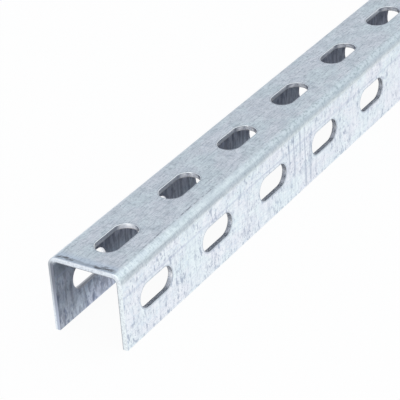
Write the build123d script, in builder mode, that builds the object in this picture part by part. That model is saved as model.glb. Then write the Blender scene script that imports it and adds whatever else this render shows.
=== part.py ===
from build123d import *
import os

# Slotted U-channel: one strip of galvanised steel, punched with rows of slots and folded
# into a U. It stands on the feet of its two flanges with the web on top.
# Sizes are in millimetres. X runs along the channel, Y across it, Z up.

os.makedirs("parts", exist_ok=True)

# The folded strip
LENGTH = 1000.0             # the length it is sold in
WIDTH = 30.0                # over the outer faces of the two flanges
HEIGHT = 30.0               # from the flanges' feet to the outer face of the web
SHEET = 2.0                 # thickness of the steel
BEND_INSIDE = 2.0           # inner radius of both bends
FOOT_ROUND = 0.2            # softened corners along the feet, where the strip was slit

# The slots, the same size in the web and in both flanges
SLOT_PITCH = 40.0           # from one slot's centre to the next
FIRST_SLOT = 20.0           # from a cut end to the nearest slot's centre, at least
SLOT_LENGTH = 20.0          # end to end
SLOT_WIDTH = 9.5            # an M8 bolt passes with room to spare
FLANGE_SLOT_HEIGHT = 14.25  # from the feet to the centre of the flange slots
RIM_ROUND = 0.25            # the soft rim the punch leaves on the side it enters

# Sizes that follow from those above
BEND_OUTSIDE = BEND_INSIDE + SHEET
SLOT_COUNT = int((LENGTH - 2 * FIRST_SLOT) // SLOT_PITCH) + 1
ROUND_LIMIT = SHEET / 4     # neither rounding may use up the sheet's edge
FOOT_ROUND = min(FOOT_ROUND, ROUND_LIMIT)
RIM_ROUND = min(RIM_ROUND, ROUND_LIMIT)

with BuildPart() as u_channel:
    # The section: the outer line goes up one flange, over the web and down the other,
    # and the sheet lies inside it
    with BuildSketch(Plane.YZ) as section:
        with BuildLine() as outer_line:
            FilletPolyline(
                (-WIDTH / 2, 0),
                (-WIDTH / 2, HEIGHT),
                (WIDTH / 2, HEIGHT),
                (WIDTH / 2, 0),
                radius=BEND_OUTSIDE,
            )
            offset(amount=SHEET, side=Side.RIGHT)
        make_face()
    extrude(amount=LENGTH / 2, both=True)

    # The four corners along the feet
    foot_edges = u_channel.edges().filter_by(Axis.X).group_by(Axis.Z)[0]
    fillet(foot_edges, radius=FOOT_ROUND)

    # One row of slots down the middle of the web
    with BuildSketch(Plane.XY.offset(HEIGHT)) as web_slots:
        with GridLocations(SLOT_PITCH, 0, SLOT_COUNT, 1):
            SlotOverall(SLOT_LENGTH, SLOT_WIDTH)
    extrude(amount=-SHEET, mode=Mode.SUBTRACT)

    # One row in each flange, level with the web's slots
    with BuildSketch(Plane.XZ.offset(-WIDTH / 2)) as flange_slots:
        with Locations((0, FLANGE_SLOT_HEIGHT)):
            with GridLocations(SLOT_PITCH, 0, SLOT_COUNT, 1):
                SlotOverall(SLOT_LENGTH, SLOT_WIDTH)
    extrude(amount=WIDTH, mode=Mode.SUBTRACT)

    # The rims of all the slots on the outer faces, where the punch went in
    web_face = u_channel.faces().filter_by(Axis.Z).sort_by(Axis.Z)[-1]
    flange_faces = u_channel.faces().filter_by(Axis.Y).sort_by(Axis.Y)
    outer_faces = ShapeList([web_face, flange_faces[0], flange_faces[-1]])
    rims = ShapeList(
        edge for face in outer_faces for wire in face.inner_wires() for edge in wire.edges()
    )
    fillet(rims, radius=RIM_ROUND)

u_channel.part.label = "u_channel"
export_step(u_channel.part, "parts/u_channel.step")

box = u_channel.part.bounding_box()
print("u_channel:", len(u_channel.solids()), "solid,", SLOT_COUNT, "slots in each of 3 rows")
print("size", [round(v, 3) for v in (box.size.X, box.size.Y, box.size.Z)])
print("volume", round(u_channel.part.volume, 1), "mm3")
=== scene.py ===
# %% [markdown]
# # A slotted U-channel in galvanised steel
# The real thing is one strip of zinc-coated steel. A press punches rows of long slots in it,
# rollers fold it into a U, and a shear cuts it to length. Nothing is joined to it.
# The CAD model holds that shape already. This lesson gives it the surface: zinc that was
# streaked by the rollers, bends that were stretched smooth, and bare sheared edges.

import math

import bmesh
import bpy
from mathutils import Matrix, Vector


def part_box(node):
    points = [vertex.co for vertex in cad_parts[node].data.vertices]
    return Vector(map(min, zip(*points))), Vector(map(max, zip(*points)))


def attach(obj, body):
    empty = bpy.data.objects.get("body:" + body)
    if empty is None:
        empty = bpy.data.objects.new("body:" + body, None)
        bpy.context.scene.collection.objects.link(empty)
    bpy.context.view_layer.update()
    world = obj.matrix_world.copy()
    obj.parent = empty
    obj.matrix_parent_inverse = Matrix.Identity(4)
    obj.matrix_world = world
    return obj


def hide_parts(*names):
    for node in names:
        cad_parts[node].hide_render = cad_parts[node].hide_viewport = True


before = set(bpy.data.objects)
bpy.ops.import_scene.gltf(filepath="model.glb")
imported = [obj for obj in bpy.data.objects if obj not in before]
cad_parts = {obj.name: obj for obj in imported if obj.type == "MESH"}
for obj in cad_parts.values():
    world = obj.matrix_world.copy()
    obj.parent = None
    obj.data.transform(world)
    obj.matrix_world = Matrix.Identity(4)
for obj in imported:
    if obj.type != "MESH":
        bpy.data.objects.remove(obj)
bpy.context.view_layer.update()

# %% [markdown]
# ## The sizes
# The channel's outer box comes from the loaded model. The sheet, the bends and the slots
# have the same sizes as in the CAD source, in metres here, so the new surface covers the
# solid exactly.

# %% Sizes of the strip, the bends and the slots
low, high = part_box("u_channel")
LENGTH, WIDTH, HEIGHT = high - low
SHEET = 0.002           # thickness
BEND = 0.004            # outer radius of a bend
SLOT_PITCH = 0.040      # from one slot's centre to the next
SLOT_LENGTH = 0.020
SLOT_WIDTH = 0.0095
FLANGE_SLOT = 0.01425   # from the feet to the flange slots' centres
RIM = 0.00025           # radius of the soft rim where the punch went in
FOOT = 0.0002           # radius of the soft corners along the feet
NICK = 0.0001           # the tiny bevel that a shear leaves on the cut ends

FLAT = HEIGHT - BEND                  # flat part of a flange
ARC = math.pi / 2 * BEND              # a bend, measured round its outer face
WEB = WIDTH - 2 * BEND                # flat part of the web
STRIP = 2 * FLAT + 2 * ARC + WEB      # the whole outer face, laid flat
SLOTS = round(LENGTH / SLOT_PITCH)    # in each row
MM = 1000                             # millimetres in a metre
print(f"{SLOTS} slots in a row, outer face {STRIP * MM:.2f} mm wide before folding")

# %% [markdown]
# ## The camera
# The photograph was taken with a long lens from above the near end, a little to the right
# of the channel. The place and the turn below came from matching the outlines of nine
# slots, both bends and the cut end, so they are plain numbers. A camera could be aimed with
# a Track To constraint instead, but numbers keep the small roll of the picture.

# %% Place the camera
lens = bpy.data.cameras.new("photo_lens")
lens.sensor_width = 36.0
lens.lens = 162.317
lens.clip_start = 0.01
camera = bpy.data.objects.new("photo_camera", lens)
camera.location = (-0.90205, -0.31869, 0.34454)
camera.rotation_euler = [math.radians(a) for a in (60.151, 3.6093, -58.1804)]
bpy.context.scene.collection.objects.link(camera)
bpy.context.scene.camera = camera
print("camera", tuple(round(v, 3) for v in camera.location), "lens", lens.lens)

# %% [markdown]
# ## Work on the flat strip, then fold it
# A punched and folded part is easiest to draw as the worker sees it: flat. A point on the
# strip has a place along it (x), a place across it (u) and a depth under the outer face (d).
# One function folds such a point into the U. The same three numbers are kept on the mesh,
# in millimetres, so that the zinc's marks run over the bends just as the rollers left them.
# Cutting slots with boolean modifiers would also work, but it leaves ragged polygons that
# shade badly on soft metal.

# %% Fold a point of the strip into the U
def fold(x, u, d):
    side = 1.0
    if u > STRIP / 2:
        u, side = STRIP - u, -1.0
    if u <= FLAT:
        y, z = WIDTH / 2 - d, u
    elif u <= FLAT + ARC:
        turn = (u - FLAT) / BEND
        y = WIDTH / 2 - BEND + (BEND - d) * math.cos(turn)
        z = HEIGHT - BEND + (BEND - d) * math.sin(turn)
    else:
        y, z = WIDTH / 2 - BEND - (u - FLAT - ARC), HEIGHT - d
    return Vector((x, side * y, z))


print("middle of the web:", tuple(round(v, 4) for v in fold(0, STRIP / 2, 0)))

# %% [markdown]
# The strip is stitched from points that neighbours share. A dictionary gives back the same
# vertex whenever the same place is asked for, so the tiles join with no seams to weld.
# Points that would fall on a cut end stop a hair short of it and leave room for the bevel.

# %% Points and faces of the strip
steel = bmesh.new()
strip_layer = steel.verts.layers.float_vector.new("strip")
made_points = {}
ZINC, SHEARED = 0, 1     # the two finishes: the coated skin, and bare cut metal


def point(x, u, d, at_cut=False):
    if not at_cut:
        x = max(-LENGTH / 2 + NICK, min(LENGTH / 2 - NICK, x))
    key = (round(x, 7), round(u, 7), round(d, 7))
    if key not in made_points:
        vertex = steel.verts.new(fold(x, u, d))
        vertex[strip_layer] = Vector((x, u, d)) * MM
        made_points[key] = vertex
    return made_points[key]


def face(corners, finish):
    polygon = steel.faces.new(corners)
    polygon.material_index = finish
    polygon.smooth = True


print("finishes:", {"zinc": ZINC, "sheared": SHEARED})

# %% [markdown]
# ## A tile of sheet with one slot
# Each slot sits in a tile one pitch long. Rings of points grow from the slot's outline to
# the tile's border, and faces join ring to ring. The outline has two straight sides and two
# half circles, and `grow` moves it outward by the same amount all round.

# %% The slot's outline and the tile's border
SIDE_STEPS = 4           # along a straight side
END_STEPS = 16           # round a half circle
CORNER_STEPS = 5         # of those, the ones that lead to a corner of the tile
REACH = SLOT_LENGTH / 2 - SLOT_WIDTH / 2    # from the slot's middle to its half circles


def slot_ring(grow):
    radius = SLOT_WIDTH / 2 + grow
    ring = [(REACH * (2 * i / SIDE_STEPS - 1), radius) for i in range(SIDE_STEPS)]
    for end, start in ((1, 90), (-1, 270)):
        turns = [math.radians(start - 180 * i / END_STEPS) for i in range(END_STEPS + 1)]
        ring += [(end * REACH + radius * math.cos(a), radius * math.sin(a)) for a in turns]
        if end == 1:
            ring += [(REACH * (1 - 2 * i / SIDE_STEPS), -radius) for i in range(1, SIDE_STEPS)]
    return ring[:-1]


def tile_ring(u_low, u_high):
    half, border_steps = SLOT_PITCH / 2, END_STEPS - 2 * CORNER_STEPS
    steps = [i / CORNER_STEPS for i in range(CORNER_STEPS)]
    down = [i / border_steps for i in range(border_steps)]
    side = [REACH * (2 * i / SIDE_STEPS - 1) for i in range(SIDE_STEPS)]
    out = [REACH + (half - REACH) * s for s in steps]
    ring = [(x, u_high) for x in side + out]
    ring += [(half, u_high + (u_low - u_high) * s) for s in down]
    ring += [(half - (half - REACH) * s, u_low) for s in steps]
    ring += [(-x, u_low) for x in side + out]
    ring += [(-half, u_low + (u_high - u_low) * s) for s in down]
    ring += [(-half + (half - REACH) * s, u_high) for s in steps]
    return ring


print("points round a slot:", len(slot_ring(0)), "round a tile:", len(tile_ring(-0.011, 0.011)))

# %% [markdown]
# From the tile's border inward the rings are: the flat sheet, a slight dish where the punch
# pulled the metal down, the rounded rim, the slot's wall, and then the inner face. The wall
# has a smooth upper band that the punch burnished and a rough lower part where the slug
# broke away, so it is split at that height.

# %% Lay one tile, with its slot, into the strip
DISH = ((0.0016, 0.0), (0.0008, 0.00002), (RIM, 0.00005))    # how far outside the slot, how deep
RIM_TURNS = (30, 60, 90)     # degrees round the rim
BURNISHED = 0.0009           # depth of the wall's smooth band
TEAR = 0.00006               # the broken part of the wall opens by this much
INNER_RING = 0.0012          # a ring of the inner face, this far round the slot


def lay_tile(x_centre, u_centre, u_low, u_high):
    rings = [[(x, u, 0.0) for x, u in tile_ring(u_low, u_high)]]
    rings += [[(x, u, d) for x, u in slot_ring(grow)] for grow, d in DISH]
    top = DISH[-1][1]
    for turn in RIM_TURNS:
        a = math.radians(turn)
        rings.append([(x, u, top + (RIM - top) * (1 - math.cos(a)))
                      for x, u in slot_ring(RIM * (1 - math.sin(a)))])
    skin_rings = len(rings)
    rings += [[(x, u, BURNISHED) for x, u in slot_ring(0.0)]]
    rings += [[(x, u, SHEET) for x, u in slot_ring(TEAR)]]
    wall_rings = len(rings)
    rings += [[(x, u, SHEET) for x, u in slot_ring(INNER_RING)]]
    rings += [[(x, u, SHEET) for x, u in tile_ring(u_low, u_high)]]
    rings = [[point(x_centre + x, u_centre + u, d) for x, u, d in ring] for ring in rings]
    for number, (outer, inner) in enumerate(zip(rings, rings[1:]), 1):
        finish = SHEARED if skin_rings <= number < wall_rings else ZINC
        for i in range(len(outer)):
            j = (i + 1) % len(outer)
            face((outer[i], outer[j], inner[j], inner[i]), finish)


# Each row of tiles: the slots' centre line, and the tile's two borders measured from it
ROWS = ((FLANGE_SLOT, FOOT - FLANGE_SLOT, FLAT - FLANGE_SLOT),
        (STRIP / 2, -WEB / 2, WEB / 2),
        (STRIP - FLANGE_SLOT, FLANGE_SLOT - FLAT, FLANGE_SLOT - FOOT))
slot_centres = [(n + 0.5) * SLOT_PITCH - LENGTH / 2 for n in range(SLOTS)]
for x_centre in slot_centres:
    for u_centre, u_low, u_high in ROWS:
        lay_tile(x_centre, u_centre, u_low, u_high)
print("faces after the slotted tiles:", len(steel.faces))

# %% [markdown]
# ## Bends and feet
# The two bends are plain rows of faces between the tiles. They use the tiles' own places
# along the channel, so every point meets one that is already there. The feet are the slit
# edges of the strip, with their corners just broken.

# %% Fill the two bends and close the two feet
columns = sorted({round(centre + x, 7) for centre in slot_centres for x, u in tile_ring(-1, 1)})
BEND_STEPS = 12
FOOT_TURNS = (0, 30, 60, 90)     # degrees round a foot's corner


def lay_row(profile, finish):
    for (u0, d0), (u1, d1) in zip(profile, profile[1:]):
        for x0, x1 in zip(columns, columns[1:]):
            face((point(x0, u0, d0), point(x1, u0, d0), point(x1, u1, d1), point(x0, u1, d1)),
                 finish)


bend_places = [FLAT + ARC * i / BEND_STEPS for i in range(BEND_STEPS + 1)]
for d in (0.0, SHEET):
    lay_row([(u, d) for u in bend_places], ZINC)
    lay_row([(STRIP - u, d) for u in bend_places], ZINC)

foot_arc = []
for turn in FOOT_TURNS:
    a = math.radians(turn)
    foot_arc.append((FOOT * (1 - math.sin(a)), FOOT * (1 - math.cos(a))))
for mirror in (lambda u: u, lambda u: STRIP - u):
    lay_row([(mirror(u), d) for u, d in foot_arc], ZINC)
    lay_row([(mirror(u), SHEET - d) for u, d in foot_arc], ZINC)
    lay_row([(mirror(0.0), FOOT), (mirror(0.0), SHEET - FOOT)], SHEARED)
print("faces with the bends and feet:", len(steel.faces))

# %% [markdown]
# ## The sheared ends
# A cut end shows the sheet's thickness all the way round the U. It is a ladder of faces:
# one rail follows the outer face, the other the inner face, and a tiny bevel joins each
# rail to the skin. That bevel is what catches the light on a real cut.

# %% Close both ends
edge_places = {round(u, 7) for u in bend_places} | {round(STRIP - u, 7) for u in bend_places}
for u_centre, u_low, u_high in ROWS:
    border = [u for x, u in tile_ring(u_low, u_high) if x == SLOT_PITCH / 2]
    edge_places |= {round(u_centre + u, 7) for u in border}
ladder = list(reversed(foot_arc[1:]))
ladder += [(u, 0.0) for u in sorted(edge_places)]
ladder += [(STRIP - u, d) for u, d in foot_arc[1:]]
CUT_STEPS = (0.0, 0.35, 0.65, 1.0)     # parts of the way from the outer to the inner face


def cut_rung(end, u, d):
    u_in = min(max(u, NICK), STRIP - NICK)
    depths = [d + NICK + (SHEET - 2 * d - 2 * NICK) * s for s in CUT_STEPS]
    rung = [point(end, u, d)]
    rung += [point(end, u_in, depth, at_cut=True) for depth in depths]
    return rung + [point(end, u, SHEET - d)]


for end in (-LENGTH / 2, LENGTH / 2):
    rungs = [cut_rung(end, u, d) for u, d in ladder]
    for a, b in zip(rungs, rungs[1:]):
        for i in range(len(a) - 1):
            face((a[i], b[i], b[i + 1], a[i + 1]), SHEARED)
    for rung in (rungs[0], rungs[-1]):
        face(rung, SHEARED)
print("faces with the cut ends:", len(steel.faces))

# %% [markdown]
# ## Make it an object
# The surface must be closed and its faces must all look outward. Edges sharper than 35
# degrees stay crisp. A Weighted Normal modifier lets the big flats win at each soft corner,
# so that a flat stays flat right up to its rounded rim. A bevel modifier could round the
# rims too, but the strip was drawn with them already.

# %% Turn the strip into the channel's visible piece
CRISP_FROM = 35          # degrees between two faces
bmesh.ops.recalc_face_normals(steel, faces=steel.faces)
open_edges = sum(1 for edge in steel.edges if len(edge.link_faces) != 2)
print("open edges:", open_edges, "volume in mm3:", round(steel.calc_volume() * 1e9))
channel_mesh = bpy.data.meshes.new("galvanised_channel")
steel.to_mesh(channel_mesh)
steel.free()
channel_mesh.set_sharp_from_angle(angle=math.radians(CRISP_FROM))
channel = bpy.data.objects.new("galvanised_channel", channel_mesh)
bpy.context.scene.collection.objects.link(channel)
normals = channel.modifiers.new("even_flats", "WEIGHTED_NORMAL")
normals.keep_sharp = True
normals.weight = 100
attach(channel, "root")
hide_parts("u_channel")
print("channel:", len(channel_mesh.polygons), "faces")

# %% [markdown]
# ## Shader helpers
# A material is a small network of nodes. These helpers add a node, feed one of its sockets
# with a link or a plain value, and do sums, so that each finish below reads as a recipe.
# The nodes could be placed by hand in the shader editor, which is good for trying things,
# but a recipe in code can be read, compared and mended line by line.

# %% Helpers for building node trees
def add(tree, kind, **settings):
    node = tree.nodes.new(kind)
    for name, value in settings.items():
        setattr(node, name, value)
    return node


def feed(tree, socket, source):
    if isinstance(source, bpy.types.NodeSocket):
        tree.links.new(source, socket)
    else:
        socket.default_value = source


def calc(tree, operation, *sources, clamp=False):
    node = add(tree, "ShaderNodeMath", operation=operation, use_clamp=clamp)
    for socket, source in zip(node.inputs, sources):
        feed(tree, socket, source)
    return node.outputs[0]


def times(tree, first, second, clamp=False):
    return calc(tree, "MULTIPLY", first, second, clamp=clamp)


print("helpers for nodes:", [helper.__name__ for helper in (add, feed, calc, times)])

# %% [markdown]
# Most of a finish is masks, numbers from 0 to 1 that say where something is. `spread` turns
# a range of values into a mask, `band` makes one round a middle value, and `blend` uses a
# mask to mix two colours.

# %% Helpers for masks and colours
MIX_FACTOR, MIX_FIRST, MIX_SECOND, MIX_RESULT = 0, 6, 7, 2     # the Mix node's colour sockets


def spread(tree, value, low, high, to_low=0.0, to_high=1.0, soft=False):
    node = add(tree, "ShaderNodeMapRange", clamp=True)
    node.interpolation_type = "SMOOTHSTEP" if soft else "LINEAR"
    for socket, source in zip(node.inputs, (value, low, high, to_low, to_high)):
        feed(tree, socket, source)
    return node.outputs[0]


def band(tree, value, middle, half, soft_edge):
    off = calc(tree, "ABSOLUTE", calc(tree, "SUBTRACT", value, middle))
    return spread(tree, off, half, half + soft_edge, 1.0, 0.0, soft=True)


def blend(tree, amount, first, second, mode="MIX"):
    node = add(tree, "ShaderNodeMix", data_type="RGBA", blend_type=mode)
    for number, source in ((MIX_FACTOR, amount), (MIX_FIRST, first), (MIX_SECOND, second)):
        feed(tree, node.inputs[number], source)
    return node.outputs[MIX_RESULT]


print("helpers for masks:", [helper.__name__ for helper in (spread, band, blend)])

# %% [markdown]
# ## Streaks as a shared effect
# Zinc on rolled strip is never even. Rollers and handling leave short dark streaks, long
# across the strip and narrow along it. Stretched noise gives them: the strip's own
# coordinates are scaled by a different amount in each direction before the noise reads
# them. The coated skin and the sheared faces both use this effect, with their own sizes,
# so it is a node group.

# %% Node group: stretched streaks
def new_group(name, inputs, outputs):
    tree = bpy.data.node_groups.new(name, "ShaderNodeTree")
    for socket_name, kind, value in inputs:
        socket = tree.interface.new_socket(socket_name, in_out="INPUT", socket_type=kind)
        if value is not None:
            socket.default_value = value
    for socket_name, kind in outputs:
        tree.interface.new_socket(socket_name, in_out="OUTPUT", socket_type=kind)
    return tree, add(tree, "NodeGroupInput").outputs, add(tree, "NodeGroupOutput").inputs


streaks, given, result = new_group(
    "streaks",
    [("Strip", "NodeSocketVector", None), ("Along", "NodeSocketFloat", 1.0),
     ("Across", "NodeSocketFloat", 0.15), ("Depth", "NodeSocketFloat", 3.0),
     ("Seed", "NodeSocketFloat", 0.0), ("Low", "NodeSocketFloat", 0.4),
     ("High", "NodeSocketFloat", 0.7)],
    [("Mask", "NodeSocketFloat"), ("Raw", "NodeSocketFloat")])
sizes = add(streaks, "ShaderNodeCombineXYZ")
for socket, name in zip(sizes.inputs, ("Along", "Across", "Depth")):
    feed(streaks, socket, given[name])
stretched = add(streaks, "ShaderNodeVectorMath", operation="MULTIPLY")
feed(streaks, stretched.inputs[0], given["Strip"])
feed(streaks, stretched.inputs[1], sizes.outputs[0])
moved = add(streaks, "ShaderNodeVectorMath", operation="ADD")
feed(streaks, moved.inputs[0], stretched.outputs[0])
feed(streaks, moved.inputs[1], given["Seed"])
noise = add(streaks, "ShaderNodeTexNoise", noise_dimensions="3D")
feed(streaks, noise.inputs["Vector"], moved.outputs[0])
for name, value in (("Scale", 1.0), ("Detail", 3.0), ("Roughness", 0.6), ("Distortion", 0.15)):
    feed(streaks, noise.inputs[name], value)
feed(streaks, result["Mask"], spread(streaks, noise.outputs[0], given["Low"], given["High"]))
feed(streaks, result["Raw"], noise.outputs[0])
print("node group:", streaks.name, "with inputs", [socket.name for socket in given if socket.name])

# %% [markdown]
# Two helpers go with it. `read_strip` fetches a point's place on the flat strip. `streak`
# takes how many marks there are to a millimetre along the strip and across it, a seed, and
# the two noise levels between which a mark grows from nothing to full.

# %% Helpers for reading the strip and using the streaks
def read_strip(tree):
    vector = add(tree, "ShaderNodeAttribute", attribute_name="strip").outputs["Vector"]
    parts = add(tree, "ShaderNodeSeparateXYZ")
    feed(tree, parts.inputs[0], vector)
    return vector, parts.outputs["X"], parts.outputs["Y"], parts.outputs["Z"]


def streak(tree, strip, per_mm_along, per_mm_across, seed, low, high, per_mm_deep=3.0, output="Mask"):
    node = add(tree, "ShaderNodeGroup", node_tree=streaks)
    for name, source in (("Strip", strip), ("Along", per_mm_along), ("Across", per_mm_across),
                         ("Depth", per_mm_deep), ("Seed", seed), ("Low", low), ("High", high)):
        feed(tree, node.inputs[name], source)
    return node.outputs[output]


print("helpers for the strip:", [helper.__name__ for helper in (read_strip, streak)])

# %% [markdown]
# ## The zinc skin
# The skin is a pale, cool grey metal. It has cloudy patches everywhere, a fine crosshatch on
# the web, bold upright streaks and dashes on the flanges, and smoother bends. A painted
# picture could hold all that, but it would blur in a close view. Here each part is found by
# its distance from the middle of the strip, so that both sides of the U match, and by its
# distance from the cut ends. The strip's places are in millimetres, so these masks are too.

# %% Find the web, the bends, the flanges and the inside
zinc = bpy.data.materials.new("zinc_skin")
zinc.use_nodes = True
tree = zinc.node_tree
skin = tree.nodes["Principled BSDF"]

MIDDLE, HALF_LENGTH = STRIP / 2 * MM, LENGTH / 2 * MM
BEND_FROM, BEND_TO = WEB / 2 * MM, (WEB / 2 + ARC) * MM     # from the middle of the strip
strip, along, across, depth = read_strip(tree)
from_middle = calc(tree, "ABSOLUTE", calc(tree, "SUBTRACT", across, MIDDLE))
from_end = calc(tree, "SUBTRACT", HALF_LENGTH, calc(tree, "ABSOLUTE", along))
from_start = calc(tree, "ADD", along, HALF_LENGTH)
on_flange = spread(tree, from_middle, BEND_TO - 0.6, BEND_TO + 0.4, soft=True)
on_web = spread(tree, from_middle, BEND_FROM + 0.8, BEND_FROM + 1.6, 1.0, 0.0, soft=True)
inside = spread(tree, depth, 0.9, 1.1)
print(f"web to {BEND_FROM:.1f} mm from the middle, bend to {BEND_TO:.1f}, foot at {MIDDLE:.1f}")

# %% [markdown]
# ### The marks
# Uprights, dashes and tall streaks stand across the rolling direction, and so do the hairs,
# which are for the bends. Traces and lines run with it. Clouds, patches and grain are nearly
# round. On real strip the marks crowd together in some places and thin out in others. So a
# broad noise turns the uprights and dashes up and down, and a slow wave groups the uprights
# and the tall streaks, as the chatter of rollers does.

# %% Masks for patches, grain, uprights, traces and lines
patches = streak(tree, strip, 0.07, 0.06, 3.0, 0.38, 0.62)
clouds = streak(tree, strip, 0.22, 0.20, 9.0, 0.42, 0.60)
grain = streak(tree, strip, 1.60, 1.20, 91.0, 0.51, 0.61)
uprights = streak(tree, strip, 0.70, 0.25, 23.0, 0.52, 0.64)
dashes = streak(tree, strip, 1.05, 0.58, 27.0, 0.57, 0.64)
tall_streaks = streak(tree, strip, 0.60, 0.045, 61.0, 0.51, 0.63)
traces = streak(tree, strip, 0.28, 1.40, 29.0, 0.53, 0.62)
lines = streak(tree, strip, 0.05, 1.50, 37.0, 0.54, 0.66)
hairs = streak(tree, strip, 2.20, 0.12, 51.0, 0.38, 0.66)

crowds = streak(tree, strip, 0.13, 0.09, 15.0, 0.42, 0.58)
crowded = spread(tree, crowds, 0, 1, 0.25, 1.25)
CHATTER_PITCH = 4.0      # mm from one group of uprights to the next
wander = times(tree, streak(tree, strip, 0.05, 0.05, 13.0, 0.4, 0.6, output="Raw"), 14.0)
chatter = calc(tree, "ADD", times(tree, from_start, 2 * math.pi / CHATTER_PITCH), wander)
waves = spread(tree, calc(tree, "SINE", chatter), -1, 1, 0.45, 1.3)
uprights = times(tree, uprights, waves, clamp=True)
print("masks for the marks:", len(tree.nodes), "nodes so far")

# %% [markdown]
# Fresh zinc is pale, and each mask pulls its colour some way to a darker grey. On the web
# the marks are nearly neutral, and on the flanges they are bluer. The whole skin drifts
# between a slightly warm and a slightly cold tint.

# %% Colours of the skin and its marks
PALE_WEB, PALE_FLANGE = (0.95, 1.0, 1.0, 1), (0.92, 0.97, 1.0, 1)
WARM, COLD = (1.0, 0.98, 1.0, 1), (0.955, 1.0, 1.0, 1)
marked = blend(tree, on_flange, (0.55, 0.61, 0.65, 1), (0.55, 0.60, 0.76, 1))
dark = blend(tree, on_flange, (0.34, 0.40, 0.43, 1), (0.33, 0.39, 0.51, 1))
cold = streak(tree, strip, 0.06, 0.09, 47.0, 0.40, 0.60)
flat_colour = blend(tree, on_flange, PALE_WEB, PALE_FLANGE)
flat_colour = blend(tree, 1.0, flat_colour, blend(tree, cold, WARM, COLD), mode="MULTIPLY")
print("zinc on the web", PALE_WEB[:3], "and on the flanges", PALE_FLANGE[:3])

# %% [markdown]
# Two masks need the place along the channel. The tall streaks are strongest between the
# third and the fourth slot, and from the third slot on the flanges are a touch greyer. Thin
# outlines, such as dried water leaves, come from the raw noise: they show only where it is
# close to a half. Then every mask is laid over the colour in turn. One Mix node for each is
# plainer than a colour ramp, because each mark keeps a strength of its own.

# %% Lay the marks on the flats
dark_stretch = band(tree, from_start, 121.0, 5.0, 9.0)
tall_streaks = times(tree, times(tree, tall_streaks, waves),
                     spread(tree, dark_stretch, 0, 1, 0.25, 1.0), clamp=True)
later = spread(tree, from_start, 70.0, 115.0, 0.0, 1.0, soft=True)
outlines = streak(tree, strip, 0.10, 0.11, 7.0, 0.4, 0.6, output="Raw")
outlines = band(tree, outlines, 0.5, 0.004, 0.010)
OUTLINE_BLUE = (0.62, 0.74, 0.86, 1)

# Each row: the mask, its pull on the web and on the flanges, its colour, and how many times
# stronger it is inside the channel
for mask, web_pull, flange_pull, target, when_inside in (
        (patches, 0.08, 0.03, marked, 1.0),
        (clouds, 0.32, 0.14, marked, 1.0),
        (grain, 0.50, 0.20, marked, 1.1),
        (times(tree, uprights, crowded, clamp=True), 0.28, 0.72, dark, 1.1),
        (times(tree, dashes, crowded, clamp=True), 0.30, 0.62, dark, 1.0),
        (traces, 0.42, 0.18, dark, 1.0),
        (lines, 0.24, 0.06, dark, 1.0),
        (tall_streaks, 0.10, 0.55, dark, 1.6),
        (later, 0.0, 0.03, marked, 1.0),
        (outlines, 0.10, 0.35, OUTLINE_BLUE, 1.0)):
    amount = times(tree, mask, spread(tree, on_flange, 0, 1, web_pull, flange_pull))
    if when_inside != 1.0:
        amount = times(tree, amount, spread(tree, inside, 0, 1, 1.0, when_inside), clamp=True)
    flat_colour = blend(tree, amount, flat_colour, target)

# Grime gathers here and there along the feet
foot_band = band(tree, from_middle, MIDDLE - 0.5, 0.2, 1.3)
grime = times(tree, foot_band, streak(tree, strip, 0.45, 0.50, 33.0, 0.54, 0.62))
flat_colour = blend(tree, times(tree, grime, 0.55), flat_colour, dark)
print("marks laid:", len(tree.nodes), "nodes so far")

# %% [markdown]
# ### Inside the channel
# The inner faces are darker all over with painted shade, and dark streaks run down them, a
# little softer towards the feet. There is painted light near the feet and at the cut, where
# the metal lies open to the light. Just behind the cut, a patch of painted light lies a third
# of the way down the flange, more painted shade in the low corner below it, and the deepest
# painted shade above it, under the web. The lamp's shade does part of this, and the painted
# colour does the rest.

# %% Shade and streaks on the inner faces
INNER_STREAK = (0.24, 0.26, 0.33, 1)
# painted shade and painted light for the inner faces
SHADED_INNER_ZINC, LIT_INNER_ZINC, PAINTED_LIGHT_PATCH = (0.54, 0.55, 0.60, 1), (0.66, 0.69, 0.77, 1), (0.98, 0.98, 1.0, 1)
SHADE_AT_CUT_UNDER_WEB, SHADE_BEHIND_CUT_UNDER_WEB = (0.56, 0.57, 0.60, 1), (0.34, 0.35, 0.38, 1)

under_web = times(tree, spread(tree, from_middle, 20.0, 25.0, 1.0, 0.0),
                  spread(tree, from_end, 8.0, 16.0, 1.0, 0.0))
inner = times(tree, streak(tree, strip, 0.62, 0.13, 67.0, 0.46, 0.57), inside)
inner = times(tree, inner, spread(tree, from_middle, 20.0, 32.0, 0.60, 0.52))
inner = times(tree, inner, spread(tree, under_web, 0, 1, 1.0, 0.3))
flat_colour = blend(tree, inner, flat_colour, INNER_STREAK)

# painted light where the inner faces lie open to it, painted shade elsewhere
open_to_light = calc(tree, "MAXIMUM", spread(tree, from_middle, 27.0, 38.0),
                     spread(tree, from_end, 2.0, 11.0, 0.9, 0.0))
inner_light_and_shade = blend(tree, open_to_light, SHADED_INNER_ZINC, LIT_INNER_ZINC)
painted_light_patch = times(tree, band(tree, from_middle, 26.0, 2.5, 4.0),
                   spread(tree, from_end, 4.0, 15.0, 0.75, 0.0))
inner_light_and_shade = blend(tree, painted_light_patch, inner_light_and_shade, PAINTED_LIGHT_PATCH)
# painted shade in the low corner
low_corner_shade = times(tree, spread(tree, from_middle, 24.0, 31.0),
                   spread(tree, from_end, 8.0, 18.0, 0.85, 0.0))
inner_light_and_shade = blend(tree, low_corner_shade, inner_light_and_shade, SHADED_INNER_ZINC)
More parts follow.
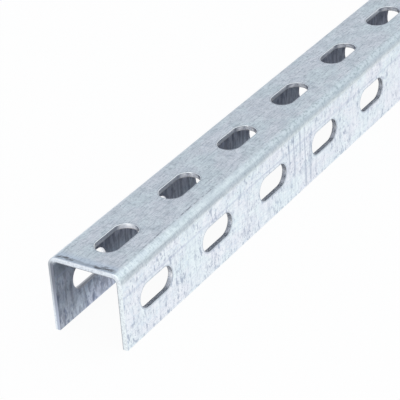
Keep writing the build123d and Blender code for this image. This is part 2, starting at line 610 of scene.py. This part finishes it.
# the deepest painted shade, under the web
under_web_shade = blend(tree, spread(tree, from_end, 1.0, 4.0), SHADE_AT_CUT_UNDER_WEB, SHADE_BEHIND_CUT_UNDER_WEB)
inner_light_and_shade = blend(tree, times(tree, under_web, 0.8), inner_light_and_shade, under_web_shade)
inner_lit_and_shaded = blend(tree, 1.0, flat_colour, inner_light_and_shade, mode="MULTIPLY")
flat_colour = blend(tree, inside, flat_colour, inner_lit_and_shaded)
print("inner faces:", len(tree.nodes), "nodes so far")

# %% [markdown]
# ### Rims and corners
# The punched rims of the web carry a painted highlight. On the flanges the rims and the outer
# corners of the feet are a darker grey. A thin dark line marks where each rim starts to turn
# down. The depth under the outer face finds all of these, because only they dip below it.

# %% Colour the rims by their depth
# the web's rims carry a painted highlight
PAINTED_RIM_HIGHLIGHT, DULL_RIM = (0.97, 0.99, 1.0, 1), (0.50, 0.53, 0.57, 1)
rim = times(tree, spread(tree, depth, 0.04, 0.10), spread(tree, depth, 0.30, 0.40, 1.0, 0.0))
rim_highlight_and_grey = blend(tree, on_flange, PAINTED_RIM_HIGHLIGHT, DULL_RIM)
flat_colour = blend(tree, times(tree, rim, 0.8), flat_colour, rim_highlight_and_grey)
rim_line = band(tree, depth, 0.045, 0.006, 0.012)
flat_colour = blend(tree, times(tree, rim_line, 0.45), flat_colour, dark)
print("rims:", len(tree.nodes), "nodes so far")

# %% [markdown]
# ### Bends
# Folding stretched the outer face, so the bends have a skin of their own, and painted light
# as well: a band of painted highlight along each bend, and a band of painted shade beside the
# flange. Hair-fine marks run round them. Towards the third slot the painted highlight fades,
# the painted shade moves nearer the web, and the bends turn cloudier and pitted, and from
# there on they stay so.

# %% Lay the painted highlight, the wear and the painted shade band
PAINTED_BEND_HIGHLIGHT, HAIR_MARK, CLOUDED = (0.91, 0.985, 1.0, 1), (0.50, 0.58, 0.70, 1), (0.56, 0.63, 0.72, 1)
LATER_BEND, PIT = (0.60, 0.67, 0.74, 1), (0.30, 0.38, 0.42, 1)
WORN_BEND, PAINTED_BEND_SHADE = (0.50, 0.57, 0.64, 1), (0.39, 0.45, 0.53, 1)

# a band of painted highlight along each bend, fading towards the third slot
highlight_band = band(tree, from_middle, BEND_FROM + 2.7, 0.8, 1.1)
highlight_fade = spread(tree, from_start, 10.0, 60.0, 1.0, 0.60, soft=True)
bend_highlight_and_marks = blend(tree, times(tree, hairs, 0.42), PAINTED_BEND_HIGHLIGHT, HAIR_MARK)
bend_highlight_and_marks = blend(tree, times(tree, clouds, 0.30), bend_highlight_and_marks, CLOUDED)
bend_highlight_and_marks = blend(tree, times(tree, later, 0.60), bend_highlight_and_marks, LATER_BEND)
pits = times(tree, streak(tree, strip, 0.55, 0.80, 43.0, 0.51, 0.58),
             spread(tree, later, 0, 1, 0.30, 1.0))
bend_highlight_and_marks = blend(tree, pits, bend_highlight_and_marks, PIT)
skin_colour = blend(tree, times(tree, highlight_band, highlight_fade), flat_colour, bend_highlight_and_marks)

on_bend = calc(tree, "SUBTRACT", 1.0, calc(tree, "ADD", on_flange, on_web), clamp=True)
worn = times(tree, on_bend, spread(tree, from_start, 20.0, 60.0, 0.0, 0.22))
skin_colour = blend(tree, worn, skin_colour, WORN_BEND)

# a band of painted shade beside the flange
bend_shade_middle = calc(tree, "SUBTRACT", BEND_TO, spread(tree, from_start, 20.0, 100.0, 1.10, 1.75))
bend_shade_band = band(tree, from_middle, bend_shade_middle, 0.3, 1.3)
bend_shade = times(tree, times(tree, bend_shade_band, spread(tree, later, 0, 1, 1.0, 0.85)),
             spread(tree, hairs, 0, 1, 0.35, 0.80))
skin_colour = blend(tree, bend_shade, skin_colour, PAINTED_BEND_SHADE)
print("bends:", len(tree.nodes), "nodes so far")

# %% [markdown]
# ### Lines left by the rollers
# The edge of one roller drew a faint blue line along each flange. The edge of another left a
# broken dark hairline where the right bend meets the web, beside the first two slots. Each
# is a very narrow band of the strip, broken up by streaks.

# %% The flange line and the roller's edge
LINE_BLUE, ROLLER_MARK = (0.50, 0.56, 0.70, 1), (0.34, 0.37, 0.41, 1)
flange_line = times(tree, band(tree, from_middle, BEND_TO + 5.2, 0.25, 0.4),
                    spread(tree, lines, 0, 1, 0.35, 0.7))
skin_colour = blend(tree, flange_line, skin_colour, LINE_BLUE)
roller_edge = times(tree, band(tree, across, MIDDLE + BEND_FROM + 0.75, 0.12, 0.2),
                    band(tree, from_start, 42.0, 20.0, 12.0))
roller_edge = times(tree, roller_edge, streak(tree, strip, 0.40, 0.25, 77.0, 0.46, 0.60))
skin_colour = blend(tree, roller_edge, skin_colour, ROLLER_MARK)
print("roller lines:", len(tree.nodes), "nodes so far")

# %% [markdown]
# ### Just behind a cut
# Just behind each cut the web has a bluish strip, and a faint dark line that turns into
# black scuffs in two places, one at each side. Behind the right-hand one lies a second,
# thinner scuff. An uneven noise is added to the distance from the cut, so that the scuffs
# don't run straight.

# %% Blue and grey behind the cut, and scuffs on the web
BLUE_BEHIND_CUT, GREY_BEHIND_CUT = (0.60, 0.72, 0.84, 1), (0.42, 0.47, 0.52, 1)
SCUFF, SECOND_SCUFF = (0.15, 0.15, 0.16, 1), (0.22, 0.23, 0.25, 1)

blue_part = times(tree, spread(tree, from_end, 2.2, 5.5, 0.5, 0.0, soft=True), on_web)
skin_colour = blend(tree, blue_part, skin_colour, BLUE_BEHIND_CUT)
grey_part = times(tree, spread(tree, from_end, 0.8, 2.6, 0.38, 0.0, soft=True), on_web)
skin_colour = blend(tree, grey_part, skin_colour, GREY_BEHIND_CUT)

uneven = streak(tree, strip, 0.15, 0.22, 57.0, 0.4, 0.6, output="Raw")
uneven = calc(tree, "MULTIPLY_ADD", uneven, 4.0, -2.0)
from_cut = calc(tree, "ADD", from_end, uneven)
places = calc(tree, "MAXIMUM", band(tree, across, 35.2, 2.6, 1.0), band(tree, across, 50.6, 3.2, 1.0))
broken_up = times(tree, places, streak(tree, strip, 1.60, 0.40, 83.0, 0.42, 0.50))
scuffs = times(tree, band(tree, from_cut, 1.35, 0.30, 0.55), on_web)
scuffs = times(tree, scuffs, spread(tree, broken_up, 0, 1, 0.25, 0.95))
skin_colour = blend(tree, scuffs, skin_colour, SCUFF)

second = times(tree, band(tree, from_cut, 2.35, 0.10, 0.35), band(tree, across, 51.5, 2.0, 1.0))
second = times(tree, second, streak(tree, strip, 0.50, 0.70, 85.0, 0.46, 0.54))
skin_colour = blend(tree, times(tree, second, 0.75), skin_colour, SECOND_SCUFF)
print("scuffs:", len(tree.nodes), "nodes so far")

# %% [markdown]
# ### Gloss and relief
# The skin is satin: it mirrors, but softly. Patches and grain are a touch rougher, and the
# grain and the uprights lie a few hundredths of a millimetre deep, so they catch the light.
# True displacement would need far more faces for something this shallow, so a Bump node
# bends the shading instead.

# %% Finish the zinc skin
BUMP_HEIGHT = 0.00004    # in metres, for both metals
feed(tree, skin.inputs["Base Color"], skin_colour)
rougher = calc(tree, "ADD", times(tree, patches, 0.05), times(tree, grain, 0.08))
feed(tree, skin.inputs["Roughness"], calc(tree, "ADD", rougher, 0.34))
feed(tree, skin.inputs["Metallic"], 1.0)
relief = calc(tree, "ADD", times(tree, grain, -0.6), times(tree, uprights, -1.0))
bump = add(tree, "ShaderNodeBump")
feed(tree, bump.inputs["Strength"], 0.15)
feed(tree, bump.inputs["Distance"], BUMP_HEIGHT)
feed(tree, bump.inputs["Height"], relief)
feed(tree, skin.inputs["Normal"], bump.outputs[0])
channel_mesh.materials.append(zinc)
print("zinc skin:", len(tree.nodes), "nodes")

# %% [markdown]
# ## Sheared metal
# The walls of the slots, the slit edges and the cut ends never saw the rollers. Nearer the
# outer face they are burnished and bright. Deeper, the metal broke: it is duller there, with
# fine ridges that run through the thickness and a dark burr at the inner edge. The lower
# walls of the left flange's slots carry painted shade, so they are darker than the rest. They
# are the ones that show through the mouth of the channel.

# %% Colour the slot walls
sheared = bpy.data.materials.new("sheared_steel")
sheared.use_nodes = True
tree = sheared.node_tree
cut = tree.nodes["Principled BSDF"]
BURNISHED_STEEL, BROKEN_STEEL = (0.95, 0.97, 1.0, 1), (0.88, 0.90, 0.94, 1)
SHADED_LOW_BURNISHED, SHADED_LOW_BROKEN = (0.60, 0.60, 0.58, 1), (0.30, 0.31, 0.33, 1)
WALL_BURR = (0.44, 0.41, 0.38, 1)

strip, along, across, depth = read_strip(tree)
from_middle = calc(tree, "ABSOLUTE", calc(tree, "SUBTRACT", across, MIDDLE))
broken = spread(tree, depth, 0.75, 1.05, soft=True)
wall_colour = blend(tree, broken, BURNISHED_STEEL, BROKEN_STEEL)
low_wall_at = (STRIP / 2 - FLANGE_SLOT + SLOT_WIDTH / 2) * MM
left_half = spread(tree, across, MIDDLE - 1, MIDDLE + 1, 1.0, 0.0)
# painted shade on the lower walls of the left flange's slots
shaded_low_wall = times(tree, band(tree, from_middle, low_wall_at, 0.4, 0.5), left_half)
wall_colour = blend(tree, shaded_low_wall, wall_colour, blend(tree, broken, SHADED_LOW_BURNISHED, SHADED_LOW_BROKEN))
burr = times(tree, spread(tree, depth, 1.60, 1.85), 0.5)
wall_colour = blend(tree, burr, wall_colour, WALL_BURR)
print(f"slots' lower walls {low_wall_at:.2f} mm from the middle,", len(tree.nodes), "nodes so far")

# %% [markdown]
# A cut end is blotchy, and its right flange carries painted light, so it is the brightest
# part. The left flange's cut carries painted shade, darker on its inner half and most of all
# near the web.

# %% Colour the cut ends
END_STEEL, PAINTED_LIT_END, BLOTCH = (0.84, 0.90, 0.97, 1), (0.90, 0.97, 1.0, 1), (0.42, 0.45, 0.52, 1)
END_BURR, RIDGE, LEFT_CUT_SHADE = (0.30, 0.32, 0.35, 1), (0.36, 0.40, 0.47, 1), (0.42, 0.45, 0.49, 1)
CUT_SHADE_AT_FOOT, CUT_SHADE_BY_WEB = (0.50, 0.55, 0.66, 1), (0.22, 0.24, 0.29, 1)

at_end = spread(tree, calc(tree, "ABSOLUTE", along), HALF_LENGTH - 0.3, HALF_LENGTH - 0.15)
on_right = spread(tree, across, (STRIP - FLAT) * MM - 4, (STRIP - FLAT) * MM - 1)
on_left = times(tree, at_end, spread(tree, across, FLAT * MM + 1, FLAT * MM + 4, 1.0, 0.0))
blotches = streak(tree, strip, 0.9, 0.9, 19.0, 0.48, 0.62, per_mm_deep=1.2)
ridges = streak(tree, strip, 3.0, 3.0, 71.0, 0.40, 0.70, per_mm_deep=0.35)

# painted light on the right flange's cut
end_colour = blend(tree, on_right, END_STEEL, PAINTED_LIT_END)
end_colour = blend(tree, times(tree, blotches, 0.40), end_colour, BLOTCH)
end_colour = blend(tree, spread(tree, depth, 1.60, 1.75, 0.0, 0.85), end_colour, END_BURR)
cut_colour = blend(tree, at_end, wall_colour, end_colour)
ridged = times(tree, ridges, spread(tree, broken, 0, 1, 0.15, 0.35))
cut_colour = blend(tree, ridged, cut_colour, RIDGE)
# painted shade on the left flange's cut, deepest on its inner half and near the web
left_cut_shade = times(tree, on_left, spread(tree, across, 5.0, 24.0))
cut_colour = blend(tree, left_cut_shade, cut_colour, LEFT_CUT_SHADE)
deep_cut_shade_colour = blend(tree, spread(tree, across, 4.0, 20.0), CUT_SHADE_AT_FOOT, CUT_SHADE_BY_WEB)
deep_cut_shade = times(tree, on_left, spread(tree, depth, 0.75, 1.0, soft=True))
cut_colour = blend(tree, deep_cut_shade, cut_colour, deep_cut_shade_colour)
print("cut ends:", len(tree.nodes), "nodes so far")

# %% [markdown]
# The burnished metal is glossier than the broken metal, and the ridges stand out a little.

# %% Finish the sheared metal
feed(tree, cut.inputs["Base Color"], cut_colour)
feed(tree, cut.inputs["Roughness"], spread(tree, broken, 0, 1, 0.28, 0.42))
feed(tree, cut.inputs["Metallic"], 1.0)
bump = add(tree, "ShaderNodeBump")
feed(tree, bump.inputs["Strength"], 0.25)
feed(tree, bump.inputs["Distance"], BUMP_HEIGHT)
feed(tree, bump.inputs["Height"], ridges)
feed(tree, cut.inputs["Normal"], bump.outputs[0])
channel_mesh.materials.append(sheared)
print("materials on the channel:", [m.name for m in channel_mesh.materials])

# %% [markdown]
# ## Floor
# The channel stands on its two feet on a plain white floor, which is one large sheet with a
# pale matt colour. More light could turn it white, but it would bleach the metal too. So
# what the camera sees of the floor is lifted most of the way to white through Light Path,
# and a soft shadow stays. Bare metal mirrors the floor, so its reflections are lifted as
# well. Under the channel, where the floor lies in the channel's own shade, they are lifted
# only towards the left flange, which the light through the right flange's slots reaches.

# %% Lay the floor
FAR = 12.0               # metres from the middle to the floor's edges
floor_mesh = bpy.data.meshes.new("floor")
corners = [(-FAR, -FAR, 0), (FAR, -FAR, 0), (FAR, FAR, 0), (-FAR, FAR, 0)]
floor_mesh.from_pydata(corners, [], [(0, 1, 2, 3)])
floor = bpy.data.objects.new("floor", floor_mesh)
bpy.context.scene.collection.objects.link(floor)
print("floor", 2 * FAR, "m wide")

# %% [markdown]
# The floor's material is a matt white with a plain Emission beside it. A mask says how much
# of the emission each ray gets: the camera's rays the same everywhere, and mirrored rays all
# of it on the open floor and less between the flanges.

# %% Colour the floor and lift it towards white
SEEN_WHITE = 0.95        # how far the camera's view of the floor is lifted to white
SHADE_EDGE = 0.004       # in metres: the shade under the channel ends this far past the cut ends
FADES_FROM = 3           # and starts to fade this many times as far before them
HALF_GAP = WIDTH / 2 - SHEET    # from the middle to the inner face of a flange

paper = bpy.data.materials.new("white_floor")
paper.use_nodes = True
tree = paper.node_tree
matt = tree.nodes["Principled BSDF"]
feed(tree, matt.inputs["Base Color"], (0.90, 0.90, 0.90, 1))
feed(tree, matt.inputs["Roughness"], 0.9)
feed(tree, matt.inputs["Specular IOR Level"], 0.0)
spot = add(tree, "ShaderNodeSeparateXYZ")
feed(tree, spot.inputs[0], add(tree, "ShaderNodeTexCoord").outputs["Object"])
half_lit = spread(tree, spot.outputs["Y"], -0.001, HALF_GAP)
beside = spread(tree, calc(tree, "ABSOLUTE", spot.outputs["Y"]),
                HALF_GAP - 0.001, HALF_GAP, half_lit, 1.0)
beyond = spread(tree, calc(tree, "ABSOLUTE", spot.outputs["X"]),
                LENGTH / 2 - FADES_FROM * SHADE_EDGE, LENGTH / 2 + SHADE_EDGE, soft=True)
open_floor = calc(tree, "MAXIMUM", beside, beyond)
rays = add(tree, "ShaderNodeLightPath")
mirrored = calc(tree, "ADD", rays.outputs["Is Glossy Ray"],
                rays.outputs["Is Transmission Ray"], clamp=True)
seen = times(tree, rays.outputs["Is Camera Ray"], SEEN_WHITE)
lifted = calc(tree, "MAXIMUM", seen, times(tree, mirrored, open_floor))
white = add(tree, "ShaderNodeEmission")
feed(tree, white.inputs["Color"], (1, 1, 1, 1))
feed(tree, white.inputs["Strength"], 1.0)
lift = add(tree, "ShaderNodeMixShader")
feed(tree, lift.inputs[0], lifted)
feed(tree, lift.inputs[1], matt.outputs[0])
feed(tree, lift.inputs[2], white.outputs[0])
feed(tree, tree.nodes["Material Output"].inputs["Surface"], lift.outputs[0])
floor_mesh.materials.append(paper)
print("floor material:", len(tree.nodes), "nodes")

# %% [markdown]
# ## Light
# Bare metal shows what is round it, so the light is mostly the room itself: a cool grey
# ceiling, which the web mirrors, and a brighter side to the right of the channel, which the
# right bend mirrors. Lamps alone would leave the metal black between their reflections. One
# large soft lamp adds a little light from the camera's side, and gives the shade its
# direction.

# %% The room
CEILING, RIGHT_SIDE = (0.62, 0.645, 0.71, 1), (0.94, 0.98, 1.0, 1)
room = bpy.data.worlds.new("pale_room")
bpy.context.scene.world = room
room.use_nodes = True
tree = room.node_tree
sky = tree.nodes["Background"]
direction = add(tree, "ShaderNodeTexCoord").outputs["Generated"]
parts = add(tree, "ShaderNodeSeparateXYZ")
feed(tree, parts.inputs[0], direction)
right_side = spread(tree, parts.outputs["Y"], 0.25, -0.2, soft=True)
feed(tree, sky.inputs["Color"], blend(tree, right_side, CEILING, RIGHT_SIDE))
feed(tree, sky.inputs["Strength"], 1.0)
print("room: ceiling", CEILING[:3], "right side", RIGHT_SIDE[:3])

# %% [markdown]
# The lamp hangs behind the camera, above it and to its left, and is aimed at the channel's
# near part. It is big, so its shadows are soft.

# %% The lamp
soft_box = bpy.data.lights.new("soft_box", "AREA")
soft_box.shape = "SQUARE"
soft_box.size = 1.6
soft_box.energy = 10.0
lamp = bpy.data.objects.new("soft_box", soft_box)
lamp.location = (-2.2, -0.3, 1.6)
aim = Vector((-0.4, 0, 0))
lamp.rotation_euler = (aim - lamp.location).to_track_quat("-Z", "Y").to_euler()
bpy.context.scene.collection.objects.link(lamp)
bpy.context.scene.view_settings.view_transform = "Standard"
print("lamp", soft_box.energy, "W,", round(soft_box.size, 2), "m wide")
